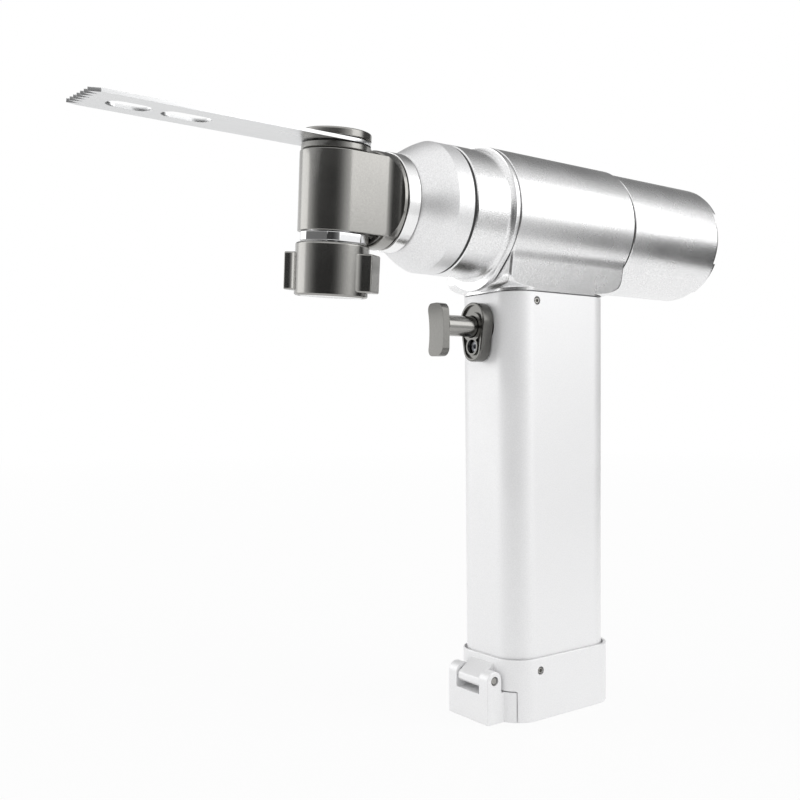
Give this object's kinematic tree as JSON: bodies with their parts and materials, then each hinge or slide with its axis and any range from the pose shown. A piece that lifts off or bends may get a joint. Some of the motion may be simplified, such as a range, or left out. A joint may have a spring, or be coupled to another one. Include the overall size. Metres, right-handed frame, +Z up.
{
  "type": "surgical oscillating saw",
  "caption": "Pistol-shaped battery bone saw with a swivelling oscillating head, clamped toothed blade, winged clamping knob, plunger trigger and hinged battery door.",
  "frame": {"origin": "middle of the handle's footprint, on the surface that the saw stands on", "axes": "+Z up along the handle, -X towards the blade's teeth, barrel along X"},
  "size_m": [0.2311, 0.0438, 0.1896],
  "materials": {
    "blasted_aluminium": "bead blasted, bright",
    "turned_aluminium": "fine turned",
    "gunmetal": "satin, dark warm grey",
    "polished_steel": "polished",
    "blade_steel": "satin",
    "bearing_steel": "ground",
    "motor_steel": "dark",
    "copper": "enamelled winding wire",
    "black_rubber": "matt",
    "grey_plastic": "moulded",
    "board_green": "lacquered board",
    "cell_wrap": "shrink sleeve"
  },
  "bodies": {
    "housing": {"handle_shell": "blasted_aluminium", "handle_screw_near": "gunmetal", "handle_screw_far": "gunmetal", "collar_screw_near": "gunmetal", "collar_screw_far": "gunmetal", "saddle_housing": "blasted_aluminium", "front_sleeve": "blasted_aluminium", "rear_sleeve": "blasted_aluminium", "rear_cap": "turned_aluminium", "nose_cone": "blasted_aluminium", "bearing_carrier": "turned_aluminium", "drive_bearing_front": "bearing_steel", "drive_bearing_rear": "bearing_steel", "nose_ring": "turned_aluminium", "nose_seal": "black_rubber", "motor_can": "motor_steel", "motor_end_bell": "grey_plastic", "motor_bearing_front": "bearing_steel", "motor_bearing_rear": "bearing_steel", "motor_stator": "copper", "trigger_guide": "gunmetal", "guide_screw": "motor_steel", "battery_case": "grey_plastic", "battery_cell_lower_front": "cell_wrap", "battery_cell_lower_rear": "cell_wrap", "battery_cell_upper_front": "cell_wrap", "battery_cell_upper_rear": "cell_wrap", "battery_lid": "grey_plastic", "contact_bulkhead": "grey_plastic", "control_board": "board_green", "trigger_switch": "grey_plastic", "base_collar": "blasted_aluminium", "door_catch": "polished_steel", "door_hinge_pin": "gunmetal"},
    "rotor": {"motor_rotor": "motor_steel", "shaft_coupling": "turned_aluminium", "drive_shaft": "polished_steel", "eccentric_bearing": "bearing_steel"},
    "saw_head": {"head_housing": "gunmetal", "spindle_bearing_upper": "bearing_steel", "spindle_bearing_lower": "bearing_steel", "bearing_nut": "polished_steel"},
    "output": {"output_spindle": "gunmetal", "drive_fork": "bearing_steel", "saw_blade": "blade_steel"},
    "clamp": {"clamp_cap": "gunmetal", "draw_bolt": "polished_steel", "clamp_spring": "motor_steel"},
    "knob": {"wing_knob": "gunmetal", "knob_end_plate": "turned_aluminium"},
    "trigger": {"trigger_pad": "gunmetal", "trigger_stem": "gunmetal", "stem_clip": "motor_steel"},
    "door": {"battery_door": "blasted_aluminium"}
  },
  "joints": [
    {"name": "motor_spin", "type": "hinge", "parent": "housing", "child": "rotor", "pos_m": [0, 0, 0.1676], "axis": [1, 0, 0], "continuous": true},
    {"name": "head_swivel", "type": "hinge", "parent": "housing", "child": "saw_head", "pos_m": [-0.0797, 0, 0.1676], "axis": [1, 0, 0], "continuous": true},
    {"name": "blade_swing", "type": "hinge", "parent": "saw_head", "child": "output", "pos_m": [-0.0797, 0, 0.1676], "axis": [0, -0.1045, 0.9945], "range_deg": [-2.5, 2.5]},
    {"name": "knob_turn", "type": "hinge", "parent": "output", "child": "knob", "pos_m": [-0.0797, 0, 0.1676], "axis": [0, -0.1045, 0.9945], "range_deg": [0, 360]},
    {"name": "clamp_lift", "type": "slide", "parent": "output", "child": "clamp", "axis": [0, -0.1045, 0.9945], "range_m": [0, 0.0015]},
    {"name": "trigger_press", "type": "slide", "parent": "housing", "child": "trigger", "axis": [1, 0, 0], "range_m": [0, 0.0065], "stiffness_N_per_m": 600, "springref_m": -0.002},
    {"name": "door_hinge", "type": "hinge", "parent": "housing", "child": "door", "pos_m": [-0.0276, 0, 0.0145], "axis": [0, 1, 0], "range_deg": [0, 90]}
  ],
  "couplings": [
    {"joint": "knob_turn", "follows": "clamp_lift", "rad_per_m": 4188.8}
  ]
}
